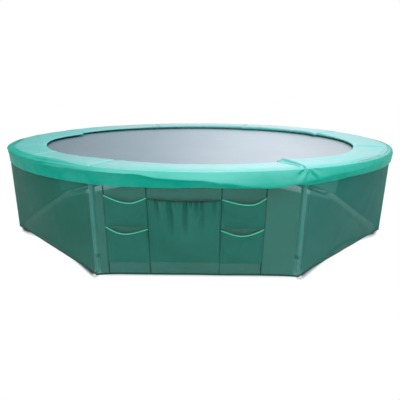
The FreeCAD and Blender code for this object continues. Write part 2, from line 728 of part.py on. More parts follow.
def mouth_edge(left, width, mouth, bulge, sag, diameter):
    """Rolled edge along a mouth, resting on the cloth's edge."""
    radius = size(diameter) / 2
    off = size("flap_gap") + size("pocket_cloth") / 2
    up = Vector(0, 0, radius + size("binding_gap"))
    points = [point + up for point in mouth_points(left, width, mouth, bulge, sag, off)]
    # The ends stand clear of the skirt, which slants outwards above them.
    for end in (0, 2):
        points[end] += Vector(0, -size("binding_stand_share") * radius, 0)
    return bent_wire(radius, Part.Wire(Part.Arc(*points).toShape()))


upper_mouth = rail_height - size("pocket_drop")
upper_bottom = upper_mouth - size("pocket_depth_upper")
lower_mouth = upper_bottom - size("pocket_spacing")
lower_bottom = lower_mouth - size("pocket_depth_lower")
levels = [("upper", upper_mouth, upper_bottom), ("lower", lower_mouth, lower_bottom)]
pocket_form = (size("pocket_bulge"), size("pocket_sag"))
bindings = []
for column in ("left", "right"):
    for level, mouth, bottom in levels:
        place = (size("pocket_column_" + column), size("pocket_width"), mouth)
        pocket(f"pocket_{level}_{column}", *place, bottom, *pocket_form)
        bindings.append(mouth_edge(*place, *pocket_form, "binding_diameter"))
bag_place = (size("bag_left"), size("bag_width"), rail_height - size("bag_drop"))
bag_form = (size("bag_bulge"), size("bag_sag"))
pocket("pocket_bag", *bag_place, bag_place[2] - size("bag_depth"), *bag_form)
node(feature("pocket_bindings", Part.makeCompound(bindings)), "pocket_bindings")
node(feature("bag_elastic", mouth_edge(*bag_place, *bag_form, "elastic_diameter")), "bag_elastic")

doc.recompute()
for item in doc.Objects:
    if "Invalid" in item.State or "Error" in item.State:
        raise RuntimeError(f"{item.Label}: {item.State}")
os.makedirs("parts", exist_ok=True)
print(f"spring {spring_length:.1f} long at {spring_slope:.2f} degrees, {len(spring_turns)} of them")
for item in nodes:
    shape = item.Shape
    if shape.isNull() or not shape.isValid() or not shape.Solids:
        raise RuntimeError(f"{item.Label} has no valid shape")
    shape.exportStep(f"parts/{item.Label}.step")
    box = shape.optimalBoundingBox()
    reach = [f"{axis} {getattr(box, axis + 'Min'):8.1f} {getattr(box, axis + 'Max'):8.1f}" for axis in "XYZ"]
    print(f"{item.Label:20s} {len(shape.Solids):3d} solids {shape.Volume / 1000:9.1f} cm3  " + "  ".join(reach))
print(len(nodes), "nodes")
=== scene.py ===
import math

import bpy
from mathutils import Matrix, Vector, noise


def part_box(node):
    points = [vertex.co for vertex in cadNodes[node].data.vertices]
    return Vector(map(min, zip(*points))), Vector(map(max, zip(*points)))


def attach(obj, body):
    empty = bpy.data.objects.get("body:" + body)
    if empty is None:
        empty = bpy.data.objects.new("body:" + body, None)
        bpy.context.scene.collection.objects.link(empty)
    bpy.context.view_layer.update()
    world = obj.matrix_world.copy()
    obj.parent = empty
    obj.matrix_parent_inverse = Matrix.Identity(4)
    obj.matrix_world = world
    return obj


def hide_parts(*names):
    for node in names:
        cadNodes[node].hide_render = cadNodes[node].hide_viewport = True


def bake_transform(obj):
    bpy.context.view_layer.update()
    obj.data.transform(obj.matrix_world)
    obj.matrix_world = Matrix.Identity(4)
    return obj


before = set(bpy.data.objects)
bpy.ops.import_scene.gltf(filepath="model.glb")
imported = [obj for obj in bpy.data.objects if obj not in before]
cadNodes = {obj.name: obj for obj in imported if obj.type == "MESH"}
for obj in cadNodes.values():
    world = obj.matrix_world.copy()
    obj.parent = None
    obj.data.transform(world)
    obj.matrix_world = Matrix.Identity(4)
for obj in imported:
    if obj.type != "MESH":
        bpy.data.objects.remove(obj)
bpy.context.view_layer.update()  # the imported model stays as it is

sideNames = ["front", "front_right", "right", "back_right", "back", "back_left", "left", "front_left"]
sideAngle = 45.0
halfSide = sideAngle / 2

# Sizes read from the frame, in metres. Angles run from the front towards +X, in degrees.
ringHeight = sum(corner.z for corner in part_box("rail_front")) / 2
matRadius = -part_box("mat_bed")[0].y
matBottom, matTop = (corner.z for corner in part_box("mat_bed"))
hemLow, hemHigh = (corner.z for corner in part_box("mat_hem"))
padOut = -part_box("pad_front")[0].y
padIn = -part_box("pad_front")[1].y / math.cos(math.radians(halfSide))
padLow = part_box("pad_front")[0].z
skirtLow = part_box("skirt_front")[0].z
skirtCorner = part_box("skirt_front")[1].x / math.sin(math.radians(halfSide))


def around(radius, angle, height):
    turn = math.radians(angle)
    return Vector((radius * math.sin(turn), -radius * math.cos(turn), height))


def polar(place):
    return math.hypot(place.x, place.y), math.degrees(math.atan2(place.x, -place.y))


def mix(low, high, share):
    return low + (high - low) * share


def ease(value, start, end):
    share = min(1.0, max(0.0, (value - start) / (end - start)))
    return share * share * (3 - 2 * share)


def bump(value, middle, width):
    return math.exp(-((value - middle) / width) ** 2)


def wave(place, scale, seed=0.0):
    return noise.noise(Vector(place) * scale + Vector((seed, 3.7 * seed, -1.9 * seed)))


def choose(*pieces):
    if bpy.context.object and bpy.context.object.mode != "OBJECT":
        bpy.ops.object.mode_set(mode="OBJECT")
    bpy.ops.object.select_all(action="DESELECT")
    for piece in pieces:
        piece.select_set(True)
    if pieces:
        bpy.context.view_layer.objects.active = pieces[0]


def modify(piece, kind, **settings):
    choose(piece)
    bpy.ops.object.modifier_add(type=kind)
    modifier = piece.modifiers[-1]
    for name, value in settings.items():
        setattr(modifier, name, value)
    bpy.ops.object.modifier_apply(modifier=modifier.name)


def named(name):
    piece = bpy.context.object
    piece.name = piece.data.name = name
    return piece


def joined(name, pieces):
    choose(*pieces)
    if len(pieces) > 1:
        bpy.ops.object.join()
    return named(name)


def thicken(piece, thickness, angle=None):
    modify(piece, "SOLIDIFY", thickness=thickness, offset=-1)
    if angle:
        smooth(piece, angle)


def mergeDoubles(piece, gap=0.00002):
    choose(piece)
    bpy.ops.object.mode_set(mode="EDIT")
    bpy.ops.mesh.select_all(action="SELECT")
    bpy.ops.mesh.remove_doubles(threshold=gap)
    bpy.ops.mesh.normals_make_consistent(inside=False)
    bpy.ops.object.mode_set(mode="OBJECT")


def sweep(steps, angle, cuts=0):
    # Sweeps the active piece's section round the middle. Blender's spin turns it clockwise.
    bpy.ops.object.mode_set(mode="EDIT")
    bpy.ops.mesh.select_all(action="SELECT")
    if cuts:
        bpy.ops.mesh.subdivide(number_cuts=cuts)
        bpy.ops.mesh.select_all(action="SELECT")
    bpy.ops.mesh.spin(steps=steps, angle=math.radians(angle), center=(0, 0, 0), axis=(0, 0, 1))
    bpy.ops.mesh.select_all(action="SELECT")
    bpy.ops.mesh.normals_make_consistent(inside=False)
    bpy.ops.object.mode_set(mode="OBJECT")


def smooth(piece, angle=40):
    choose(piece)
    bpy.ops.object.shade_smooth_by_angle(angle=math.radians(angle))


def copyOf(piece, name, turn=0.0):
    other = piece.copy()
    other.data = piece.data.copy()
    other.name = other.data.name = name
    bpy.context.scene.collection.objects.link(other)
    other.data.transform(Matrix.Rotation(math.radians(turn), 4, "Z"))
    return other


def cloth(name, across, down, flat, place):
    # A flat grid laid along a form: place(u, v) takes the shares across and down.
    choose()
    bpy.ops.mesh.primitive_grid_add(x_subdivisions=across, y_subdivisions=down, size=1, calc_uvs=True)
    piece = named(name)
    for vertex in piece.data.vertices:
        vertex.co = place(vertex.co.x + 0.5, 0.5 - vertex.co.y)
    for corner in piece.data.uv_layers.active.data:
        corner.uv = (corner.uv.x * flat[0], corner.uv.y * flat[1])
    return piece


def tube(name, points, radius, sides=8, steps=8):
    choose()
    bpy.ops.curve.primitive_nurbs_path_add()
    path = bpy.context.object
    path.data.splines.clear()
    line = path.data.splines.new("NURBS")
    line.points.add(len(points) - 1)
    for point, place in zip(line.points, points):
        point.co = (*place, 1)
    line.order_u = 3
    line.use_endpoint_u = True
    line.resolution_u = steps
    path.data.bevel_depth = radius
    path.data.bevel_resolution = (sides - 4) // 2
    path.data.use_fill_caps = True
    bpy.ops.object.convert(target="MESH")
    return named(name)


def finish(piece, material, body=None, replaces=()):
    piece.data.materials.clear()
    piece.data.materials.append(material)
    if body:
        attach(piece, body)
    if replaces:
        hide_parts(*replaces)
    return piece


print("materials")


class Wire:
    # One output of a material's nodes. Sums and products of wires add Math nodes.
    def __init__(self, tree, socket):
        self.tree = tree
        self.socket = socket

    def math(self, operation, *others, clamp=False):
        node = self.tree.nodes.new("ShaderNodeMath")
        node.operation = operation
        node.use_clamp = clamp
        for i, value in enumerate((self, *others)):
            plug(self.tree, node.inputs[i], value)
        return Wire(self.tree, node.outputs[0])

    def clamped(self):
        return self.math("MULTIPLY", 1.0, clamp=True)

    def __add__(self, other):
        return self.math("ADD", other)

    def __sub__(self, other):
        return self.math("SUBTRACT", other)

    def __mul__(self, other):
        return self.math("MULTIPLY", other)

    def __truediv__(self, other):
        return self.math("DIVIDE", other)

    def __rsub__(self, other):
        return (self * -1) + other

    def __gt__(self, other):
        return self.math("GREATER_THAN", other)

    def __lt__(self, other):
        return self.math("LESS_THAN", other)

    __radd__ = __add__
    __rmul__ = __mul__


def plug(tree, socket, value):
    if isinstance(value, Wire):
        tree.links.new(value.socket, socket)
    else:
        socket.default_value = value


class Nodes:
    def __init__(self, tree):
        self.tree = tree

    def node(self, kind, settings=None, inputs=None, output=0):
        node = self.tree.nodes.new("ShaderNode" + kind)
        for name, value in (settings or {}).items():
            setattr(node, name, value)
        for key, value in (inputs or {}).items():
            plug(self.tree, node.inputs[key], value)
        return Wire(self.tree, node.outputs[output])

    def place(self):
        return self.node("TexCoord", output=3)

    def split(self, vector):
        return [self.node("SeparateXYZ", inputs={0: vector}, output=i) for i in range(3)]

    def stretched(self, vector, scale):
        return self.node("Mapping", inputs={"Vector": vector, "Scale": scale})

    def noise(self, vector, scale, detail=3.0, roughness=0.5, distortion=0.0):
        return self.node("TexNoise", inputs={"Vector": vector, "Scale": scale, "Detail": detail,
                                             "Roughness": roughness, "Distortion": distortion})

    def ramp(self, value, start, end, low=0.0, high=1.0, smooth=False):
        # Goes from low to high while the value goes from start to end.
        return self.node("MapRange", {"interpolation_type": "SMOOTHSTEP" if smooth else "LINEAR"}, {
            "Value": value, "From Min": start, "From Max": end, "To Min": low, "To Max": high})

    def blend(self, share, low, high):
        return self.node("Mix", {"data_type": "RGBA"}, {0: share, 6: colour(low), 7: colour(high)}, output=2)

    def bump(self, height, distance, strength=1.0, normal=None):
        inputs = {"Height": height, "Distance": distance, "Strength": strength}
        if normal is not None:
            inputs["Normal"] = normal
        return self.node("Bump", inputs=inputs)

    def rays(self):
        # Whether a ray comes from the camera, from a reflection or through something.
        return [self.node("LightPath", output=i) for i in (0, 3, 6)]


class Finish(Nodes):
    def __init__(self, name, **sockets):
        self.material = bpy.data.materials.new(name)
        self.material.use_nodes = True
        super().__init__(self.material.node_tree)
        self.shader = self.tree.nodes["Principled BSDF"]
        self.set(**sockets)

    def set(self, **sockets):
        for name, value in sockets.items():
            plug(self.tree, self.shader.inputs[name.replace("_", " ")], value)


def colour(value):
    return value if isinstance(value, Wire) else (*value[:3], 1.0)


padLook = {
    "colour": (0.022, 0.700, 0.620),
    # A paler tone in random patches, which also carries the painted sheen and highlight set below
    "fadedAndSheen": (0.325, 0.625, 0.585),
    "across": (-1.9, -0.5, -0.32, 0.26),  # the painted sheen grows from one x to another, by these shares
    "right": -0.16,
    "behind": 0.54,  # more painted sheen on the far side
    "upwards": 0.0,  # painted highlight where the cloth faces the sky
    # Dark seam lines: distance from the middle, width, depth, and the x where each one fades in and out.
    "stitches": ((2.110, 0.009, 0.95, 1.20, 1.34, 2.2, 2.3),),
    "seam": (0.004, 0.20, 0.16),
    "roughness": 0.36,
    "grain": 0.00012,  # metres that the grain stands out, and the soft creases
    "creases": 0.004,
    "coat": 1.0,
    "ior": 1.4,
}


def vinyl(name, look):
    made = Finish(name, IOR=look["ior"], Coat_Weight=look["coat"], Coat_Roughness=0.3, Coat_IOR=1.5)
    place = made.place()
    patches = made.noise(place, 2.3, 4.0, 0.55)
    streaks = made.noise(made.stretched(place, (1.0, 1.0, 3.0)), 9.0, 5.0, 0.6)
    x, y, _ = made.split(place)
    # Painted sheen and highlight: paler by x, on the far side and where the cloth faces the sky, standing in
    # for reflected sky and light from above.
    paintedLight = made.ramp(x, *look["across"], smooth=True) + made.ramp(x, 0.2, 1.1, 0.0, look["right"])
    paintedLight = paintedLight + made.ramp(y, 0.2, 1.8, 0.0, look["behind"], smooth=True)
    if look["upwards"]:
        up = made.split(made.node("TexCoord", output=1))[2]
        shaded = made.ramp(x.math("ABSOLUTE"), 0.5, 1.45, 1.0, 0.22)
        paintedLight = paintedLight + made.ramp(up, 0.02, 0.60, smooth=True) * shaded * look["upwards"]
    share = (patches * 0.9 + streaks * 0.5 - 0.42 + paintedLight).clamped()
    shown = made.blend(share, look["colour"], look["fadedAndSheen"])
    for distance, width, depth, nearer, near, far, farther in look["stitches"]:
        gap = ((x * x + y * y).math("SQRT") - distance) / width
        mask = made.ramp(x, nearer, near) * (y < -0.35) * made.ramp(x, farther, far)
        line = (gap * gap * -1).math("EXPONENT") * mask * made.noise(place, 16.0) * (2 * depth)
        shown = made.blend(line.math("MINIMUM", 1.0), shown, look["seam"])
    grain = made.bump(made.noise(place, 900.0, 2.0), look["grain"], 0.6)
    made.set(Base_Color=shown,
             Roughness=made.noise(place, 31.0, 3.0) * 0.22 + (look["roughness"] - 0.11),
             Normal=made.bump(made.noise(place, 7.0, 3.0, 0.5, 0.6), look["creases"], 0.7, grain))
    return made.material


padVinyl = vinyl("pad_vinyl", padLook)
flapLook = {
    **padLook,
    "colour": (0.002, 0.43, 0.315),
    "fadedAndSheen": (0.125, 0.58, 0.50),
    "across": (-2.2, -0.6, -0.28, -0.20),
    "right": 0.0,
    # a strong painted highlight on the band's folds that face the sky
    "upwards": 0.85,
    "stitches": ((2.126, 0.004, 0.70, -1.42, -1.32, -0.62, -0.42),),
    "roughness": 0.40,
    "creases": 0.005,
    "coat": 0.06,
    "ior": 1.08,
}
flapVinyl = vinyl("flap_vinyl", flapLook)


def mottled(name, roughness, spots, low, high, relief, size, height, strength):
    # Two colours mixed by noise of a scale and detail, over a fine relief of checks, ribs or grain.
    made = Finish(name, Roughness=roughness)
    place = made.place()
    if relief == "checks":
        fine = made.node("TexChecker", inputs={"Vector": place, "Scale": size}, output=1)
    elif relief == "ribs":
        fine = (made.split(place)[0] * (math.tau / size)).math("SINE")
    else:
        fine = made.noise(place, size, 2.0)
    made.set(Base_Color=made.blend(made.noise(place, *spots), low, high),
             Normal=made.bump(fine, height, strength))
    return made.material


# The lining of the pad's underside, darker than the cover; it also goes on the inner edge, where its darkness
# is painted shade.
padLiningAndShade = mottled("pad_lining_and_shade", 0.7, (14.0, 4.0), (0.055, 0.50, 0.47), (0.09, 0.60, 0.56),
                    "checks", 500.0, 0.0002, 0.5)
mintBinding = mottled("mint_binding", 0.5, (60.0, 3.0), (0.04, 0.60, 0.36), (0.09, 0.74, 0.48),
                      "grain", 700.0, 0.0003, 0.6)
darkElastic = mottled("dark_elastic", 0.75, (80.0, 3.0), (0.012, 0.055, 0.048), (0.02, 0.08, 0.07),
                      "ribs", 0.004, 0.0006, 0.8)
blackWebbing = mottled("black_webbing", 0.7, (40.0, 3.0), (0.012, 0.012, 0.013), (0.03, 0.03, 0.032),
                       "checks", 420.0, 0.0004, 0.7)

meshLook = {
    "thread": (0.020, 0.226, 0.168),
    "worn": (0.034, 0.292, 0.236),
    # Painted shade: the thread is darker on some sides, as shares of those colours.
    "turned": {"front_right": (0.70, 0.87, 0.93), "front_left": (0.60, 0.80, 0.75)},
    # Share of the view that each face of a sheet closes, in the order of the sides.
    "covers": (0.60, 0.74, 0.90, 0.64, 0.64, 0.70, 0.90, 0.80),
    "stretched": 0.15,  # the netting closes this much less where it is drawn tight past a post
    "postLight": ((0.085, 0.43, 0.37), 0.015),  # painted light of the post behind: pale thread over a post, and its width each way
    "postWidth": 0.048,  # metres from a panel's end
    # A paler corner beside a front post, painted light seen through the netting: share of the pale thread,
    # then its length and the height over the hem from which it starts, at the post and at its other end.
    "corner": {"front_right": 0.42, "front_left": 0.16},
    "cornerSize": (0.32, 0.780, 0.655),
    "pitch": 0.0035,
}


def netting(name, look, cover, variation=0.05, wide=None, side=None):
    made = Finish(name, Roughness=0.62, IOR=1.3)
    across, down, _ = made.split(made.node("UVMap"))
    threads = [(way / look["pitch"] * math.tau).math("SINE") for way in (across, down)]
    threads = threads[0] * threads[1]
    cloud = made.noise(made.place(), 3.1, 4.0, 0.6)
    share = (cloud * 1.2 - 0.15 + threads * 0.12).clamped()
    closed = cloud * variation + threads * 0.10 + (cover - variation / 2)
    shown = made.blend(share, look["thread"], look["worn"])
    pale, width = look["postLight"]
    if wide:
        half = wide / 2
        fromMiddle = (across - half).math("ABSOLUTE")
        closed = closed - made.ramp(fromMiddle, half - look["postWidth"], half - look["postWidth"] * 0.7,
                                    0.0, look["stretched"], smooth=True)
        # Painted light: the thread is paler where a lit post shows behind it.
        postLight = made.ramp(fromMiddle, half - width * 1.25, half - width * 0.75, smooth=True)
        shown = made.blend(postLight * (cloud * 0.5 + 0.55), shown, pale)
    # Painted light seen through the netting: a paler corner beside a front post.
    if side in look["corner"]:
        long, nearUp, farUp = look["cornerSize"]
        fromPost = across if side == "front_right" else wide - across
        up = down + fromPost * ((nearUp - farUp) / long)
        inside = made.ramp(fromPost, long + 0.006, long) * made.ramp(up, nearUp - 0.01, nearUp)
        shown = made.blend(inside * look["corner"][side], shown, pale)
    made.set(Base_Color=shown,
             Alpha=closed.clamped(),
             Normal=made.bump(threads, 0.0004, 0.6, made.bump(cloud, 0.006, 0.5)))
    return made.material


panelWidth = 2 * skirtCorner * math.sin(math.radians(halfSide))
skirtMeshes = []
for side, cover in zip(sideNames, meshLook["covers"]):
    look = dict(meshLook)
    # Painted shade: darker copies of the thread on some sides.
    for part in ("thread", "worn"):
        look[part] = tuple(a * b for a, b in zip(meshLook[part], meshLook["turned"].get(side, (1, 1, 1))))
    skirtMeshes.append(netting(f"skirt_mesh_{side}", look, cover, wide=panelWidth, side=side))
pocketLook = {**meshLook, "thread": (0.020, 0.195, 0.148), "worn": (0.034, 0.255, 0.200)}
pocketMesh = netting("pocket_mesh", pocketLook, 0.80)
tapeLook = {**meshLook, "thread": (0.012, 0.085, 0.070), "worn": (0.020, 0.11, 0.095), "pitch": 0.002}
hemTape = netting("hem_tape", tapeLook, 0.92, 0.01)

matLook = {
    # The thread is a blue grey, lighter and bluer than the black mat: partly a painted reflection of the sky.
    "thread": (0.100, 0.178, 0.228),
    "dustAndSheen": (0.430, 0.458, 0.482),
    "paler": (-0.8, 1.1, -0.55, 0.36),  # painted sheen: the mat grows paler from one x to another, by these shares
    "pitch": 0.003,
    "roughness": 0.38,
}


def weaveMaterial():
    made = Finish("mat_weave", IOR=1.5, Coat_Weight=1.0, Coat_Roughness=0.34)
    place = made.place()
    across, along, _ = made.split(place)
    warp = (across / matLook["pitch"] * math.tau).math("SINE")
    weft = (along / matLook["pitch"] * math.tau).math("SINE")
    dust = made.noise(place, 1.7, 5.0, 0.6)
    streak = made.noise(made.stretched(place, (2.0, 9.0, 1.0)), 3.0, 4.0)
    # Painted sheen: paler towards the right, standing in for a brighter reflection there.
    pale = made.ramp(across, *matLook["paler"], smooth=True)
    share = (dust * 0.8 + streak * 0.3 + pale).clamped()
    made.set(Base_Color=made.blend(share, matLook["thread"], matLook["dustAndSheen"]),
             Roughness=dust * 0.12 + (matLook["roughness"] - 0.06),
             Normal=made.bump(warp * weft, 0.0003, 0.5))
    return made.material


matWeave = weaveMaterial()


def steelMaterial(name, low, high, roughness, spangle, metallic=1.0, tint=None):
    made = Finish(name, Metallic=metallic)
    place = made.place()
    cells = made.node("TexVoronoi", inputs={"Vector": place, "Scale": spangle}, output=1)
    grey = made.node("RGBToBW", inputs={0: cells})
    dull = made.noise(place, 5.0, 5.0, 0.65)
    share = (grey * 0.5 + dull * 0.5).clamped()
    shown = made.blend(share, low, high)
    if tint:
        # The light that reaches the tubes above the bases has come through green netting.
        green = made.ramp(made.split(place)[2], 0.05, 0.12)
        shown = made.blend(green, shown, made.blend(share, *tint))
    made.set(Base_Color=shown,
             Roughness=grey * 0.12 + dull * 0.12 + (roughness - 0.12),
             Normal=made.bump(dull, 0.0005, 0.3, made.bump(made.noise(place, 300.0), 0.0001, 0.4)))
    return made.material


galvanised = steelMaterial("galvanised_steel", (0.60, 0.63, 0.66), (0.76, 0.79, 0.81), 0.36, 90.0, 0.85,
                           ((0.34, 0.60, 0.58), (0.44, 0.75, 0.72)))
springSteel = steelMaterial("spring_steel", (0.50, 0.51, 0.52), (0.66, 0.67, 0.68), 0.30, 400.0)
zinc = steelMaterial("zinc_screws", (0.56, 0.58, 0.60), (0.72, 0.74, 0.76), 0.34, 500.0)


def plasticMaterial():
    made = Finish("dark_plastic", Roughness=0.5)
    place = made.place()
    dust = made.noise(place, 20.0, 4.0)
    made.set(Base_Color=made.blend(dust, (0.016, 0.026, 0.026), (0.035, 0.048, 0.048)),
             Roughness=made.noise(place, 55.0) * 0.2 + 0.38,
             Normal=made.bump(made.noise(place, 500.0, 2.0), 0.00015, 0.5))
    return made.material


darkPlastic = plasticMaterial()

cadFinishes = [
    ("rail_", galvanised), ("leg_sockets", galvanised), ("leg_post", galvanised), ("leg_base", galvanised),
    ("leg_collars", darkPlastic), ("leg_screws", zinc),
]
for name, piece in cadNodes.items():
    for start, material in cadFinishes:
        if name.startswith(start):
            piece.data.materials.clear()
            piece.data.materials.append(material)
print("frame dressed")


# The jumping mat: a middle that moves whole and sixteen wedges that reach out to the frame.
matFacts = {
    "sectors": 16,
    "stillFrom": 2.100,  # metres from the middle
    "wholeTo": 0.500,
    "hemWidth": 0.050,
}
sectorAngle = 360 / matFacts["sectors"]
matThickness = matTop - matBottom


def stretchAlong(piece, angle):
    around(matFacts["stillFrom"], angle, matTop)
    around(matFacts["wholeTo"] * math.cos(math.radians(sectorAngle / 2)), angle, matTop)
    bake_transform(piece)


def makeMat():
    whole = matFacts["wholeTo"]
    choose()
    bpy.ops.mesh.primitive_circle_add(vertices=matFacts["sectors"] * 8, radius=whole, fill_type="TRIFAN",
                                      location=(0, 0, matTop))
    bpy.ops.object.transform_apply(location=True)
    middle = named("mat_middle")
    thicken(middle, matThickness)
    finish(middle, matWeave, "mat", ["mat_bed"])
    wide = 2 * matRadius * math.sin(math.radians(sectorAngle / 2))
    long = matRadius - whole * math.cos(math.radians(sectorAngle / 2))
    wedge = cloth("mat_wedge", 8, 30, (wide, long), lambda u, v: around(
        mix(whole, matRadius, v), (u - 0.5) * sectorAngle, matTop))
    thicken(wedge, matThickness)
    for sector in range(matFacts["sectors"]):
        angle = sectorAngle * (sector + 0.5)
        piece = finish(copyOf(wedge, f"mat_wedge_{sector}", angle), matWeave)
        stretchAlong(piece, angle)
        band = finish(copyOf(webbing, f"mat_webbing_{sector}", angle), blackWebbing,
                      replaces=["mat_hem"])
        stretchAlong(band, angle)
    for spare in (wedge, webbing):
        bpy.data.objects.remove(spare)


def webbingPiece():
    # Swept clockwise, it comes to lie one sector before the first wedge.
    choose()
    inner = matRadius - matFacts["hemWidth"]
    bpy.ops.mesh.primitive_plane_add(size=1, location=(0, 0, 0))
    piece = named("webbing")
    for vertex in piece.data.vertices:
        radius = mix(inner, matRadius, vertex.co.x + 0.5)
        vertex.co = around(radius, -sectorAngle / 2, mix(hemLow, hemHigh, vertex.co.y + 0.5))
    sweep(8, sectorAngle, cuts=3)
    return piece


webbing = webbingPiece()
makeMat()
print("mat done")


# V-rings and springs, six of each in a sector.
springFacts = {
    "perSector": 6,
    "innerCurl": (1.868, 0.900),  # distance from the middle and height, metres
    "outerCurl": (2.092, 0.918),
    "coilRadius": 0.0094,
    "wire": 0.0032,
    "pitch": 0.0034,
    "reach": 0.022,
    "curl": 0.008,
}


def coilSpring():
    facts = springFacts
    inner, outer = (Vector(point) for point in (facts["innerCurl"], facts["outerCurl"]))
    length = (outer - inner).length
    body = length - 2 * facts["reach"]
    turns = round(body / facts["pitch"])
    choose()
    bpy.ops.mesh.primitive_circle_add(vertices=5, radius=facts["wire"] / 2, fill_type="NOTHING",
                                      location=(facts["coilRadius"], 0, 0), rotation=(math.pi / 2, 0, 0))
    bpy.ops.object.transform_apply(location=True, rotation=True)
    coil = bpy.context.object
    modify(coil, "SCREW", angle=math.tau * turns, screw_offset=body, axis="Z", steps=turns * 8,
           render_steps=turns * 8, use_merge_vertices=False)
    coil.data.transform(Matrix.Translation((0, 0, facts["reach"])))
    hooks = []
    for end, arc in ((0, 205), (1, 118)):
        middle = Vector((0, 0, length if end else 0))
        way = 1 if end else -1
        root = middle - Vector((0, 0, way * facts["reach"] * 0.95))
        points = [root + Vector((facts["coilRadius"] * 0.7, 0, 0)),
                  root.lerp(middle, 0.35) + Vector((0.002, 0, 0))]
        for i in range(9):
            turn = math.radians(-70 + (arc + 60) * i / 8)
            points.append(middle + Vector((0, facts["curl"] * math.cos(turn), 0))
                          + Vector((0, 0, way * facts["curl"] * math.sin(turn))))
        hooks.append(tube(f"hook_{end}", points, facts["wire"] / 2 * 0.98, sides=6, steps=3))
    spring = joined("spring", [coil, *hooks])
    # The spring's own axis is turned from upright to lie along the slope, drawn towards the front.
    slope = math.atan2(outer.y - inner.y, outer.x - inner.x)
    lay = Matrix.Rotation(math.pi / 2 - slope, 4, "X")
    spring.data.transform(Matrix.Translation((0, -inner.x, inner.y)) @ lay)
    return spring


def makeSprings():
    spring = coilSpring()
    step = sectorAngle / springFacts["perSector"]
    group = joined("spring_group", [copyOf(spring, f"spring_{i}", (i + 0.5) * step - sectorAngle / 2)
                                    for i in range(springFacts["perSector"])])
    smooth(group)
    for sector in range(matFacts["sectors"]):
        angle = sectorAngle * (sector + 0.5)
        piece = finish(copyOf(group, f"springs_{sector}", angle), springSteel,
                       replaces=["springs"])
        stretchAlong(piece, angle)
    for spare in (spring, group):
        bpy.data.objects.remove(spare)


def makeRings():
    ringGroup = copyOf(cadNodes["v_rings"], "ring_group")
    ringGroup.parent = None
    mergeDoubles(ringGroup)
    for vertex in ringGroup.data.vertices:
        vertex.select = not 0 < polar(vertex.co)[1] < sectorAngle
    for part in (*ringGroup.data.edges, *ringGroup.data.polygons):
        part.select = False
    choose(ringGroup)
    bpy.ops.object.mode_set(mode="EDIT")
    bpy.ops.mesh.select_mode(type="VERT")
    bpy.ops.mesh.delete(type="VERT")
    bpy.ops.object.mode_set(mode="OBJECT")
    modify(ringGroup, "DECIMATE", ratio=0.35)
    smooth(ringGroup)
    for key in list(ringGroup.keys()):
        del ringGroup[key]
    for sector in range(matFacts["sectors"]):
        piece = finish(copyOf(ringGroup, f"v_rings_{sector}", sectorAngle * sector), springSteel,
                       replaces=["v_rings"])
        stretchAlong(piece, sectorAngle * (sector + 0.5))
    bpy.data.objects.remove(ringGroup)


makeSprings()
makeRings()
print("springs done")


# The padded ring: one pad is filled with air in a simulation, then copied to the eight sides.
padFacts = {
    # Height of the top over the underside's lowest edge, at shares of the way outwards.
    "top": [(0.0, 0.0355), (0.12, 0.0365), (0.45, 0.0415), (0.76, 0.0472), (0.90, 0.0465), (0.97, 0.0425),
            (1.0, 0.0390)],
    "slope": 0.013,
    "flatFrom": 2.092,
    "voxel": 0.011,
    "pressure": 4.0,
    "mass": 0.4,
    "steps": 20,
    "swell": 0.005,
    "flatten": 0.86,
    "press": 0.04,  # degrees that an end pushes into its neighbour
    "dents": ((3.0, 0.0034, 0), (11.0, 0.0020, 5), (27.0, 0.0010, 2)),  # scale, height and seed's shift
    "creaseWidth": 0.011,
    "creaseBank": (0.4, 0.024, 0.012),  # the trough beside a crease: its share, distance and width
    # Places in degrees and metres of a lap's edge or a crease: from, to, height.
    "creases": [((25.1, 1.66), (22.7, 2.10), 0.0075), ((21.6, 1.70), (22.0, 2.10), 0.0055),
                ((23.5, 1.64), (22.4, 2.11), -0.0085), ((20.3, 1.74), (21.3, 2.08), -0.0050),
                ((-50.9, 1.73), (-42.9, 2.07), 0.0040), ((70.6, 1.80), (68.2, 2.09), 0.0055),
                ((37, 2.100), (50, 2.110), -0.004), ((50, 2.110), (66, 2.108), -0.004)],
    # Rise of the top by angle, and of the inner edge alone.
    "puffed": [(-180, 0.008), (-135, -0.002), (-105, -0.012), (-80, -0.012), (-55, -0.004), (-30, 0.004),
               (0, 0.0), (90, 0.0), (125, 0.010), (150, 0.014), (180, 0.008)],
    "lifted": [(-180, 0.0), (-109.5, 0.0), (-108, 0.004), (-100, 0.004), (-92, 0.0), (22.4, 0.0),
               (22.7, 0.012), (31, 0.008), (44, 0.0), (180, 0.0)],
    # How far the inner edge lies over the mat by angle.
    "inwards": [(-180, 0.0), (-109.0, 0.0), (-108, 0.095), (-101, 0.075), (-94, 0.03), (-84, 0.0),
                (22.4, 0.0), (22.7, 0.065), (31, 0.040), (45, 0.0), (112.4, 0.0), (112.6, 0.045), (121, 0.0),
                (149, 0.0), (157.4, 0.045), (157.6, 0.0), (180, 0.0)],
}


def along(points, value):
    # A smooth line through a few points.
    for (low, first), (high, last) in zip(points, points[1:]):
        if value <= high:
            return mix(first, last, ease(value, low, high))
    return points[-1][1]


def padForm(piece):
    # A flat section becomes the pad's one: rounded at both edges, highest near the outer one.
    for vertex in piece.data.vertices:
        radius, _ = polar(vertex.co)
        low = padLow + padFacts["slope"] * min(1.0, (radius - padIn) / (padFacts["flatFrom"] - padIn))
        high = padLow + along(padFacts["top"], (radius - padIn) / (padOut - padIn))
        vertex.co.z = low + (high - low) * padFacts["flatten"] * (vertex.co.z + 0.5)


